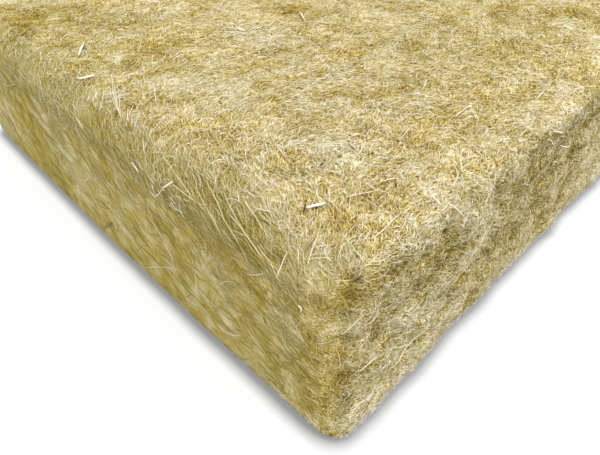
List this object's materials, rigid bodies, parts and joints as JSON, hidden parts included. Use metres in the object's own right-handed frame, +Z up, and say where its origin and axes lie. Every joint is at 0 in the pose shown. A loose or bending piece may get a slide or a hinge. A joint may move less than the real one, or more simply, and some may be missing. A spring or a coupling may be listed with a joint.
{
  "type": "plant fibre insulation batt",
  "caption": "Rectangular batt of loose plant fibre insulation, with bowed chopped ends, straight slit sides and soft rounded edges.",
  "frame": {"origin": "middle of the underside, on the floor", "axes": "+X along the length, +Y across the width, +Z up through the thickness"},
  "size_m": [1.2, 0.375, 0.1],
  "materials": {
    "plant_fibre": "loose matted bast fibre with bits of woody stem"
  },
  "bodies": {
    "root": {"batt": "plant_fibre"}
  },
  "joints": []
}
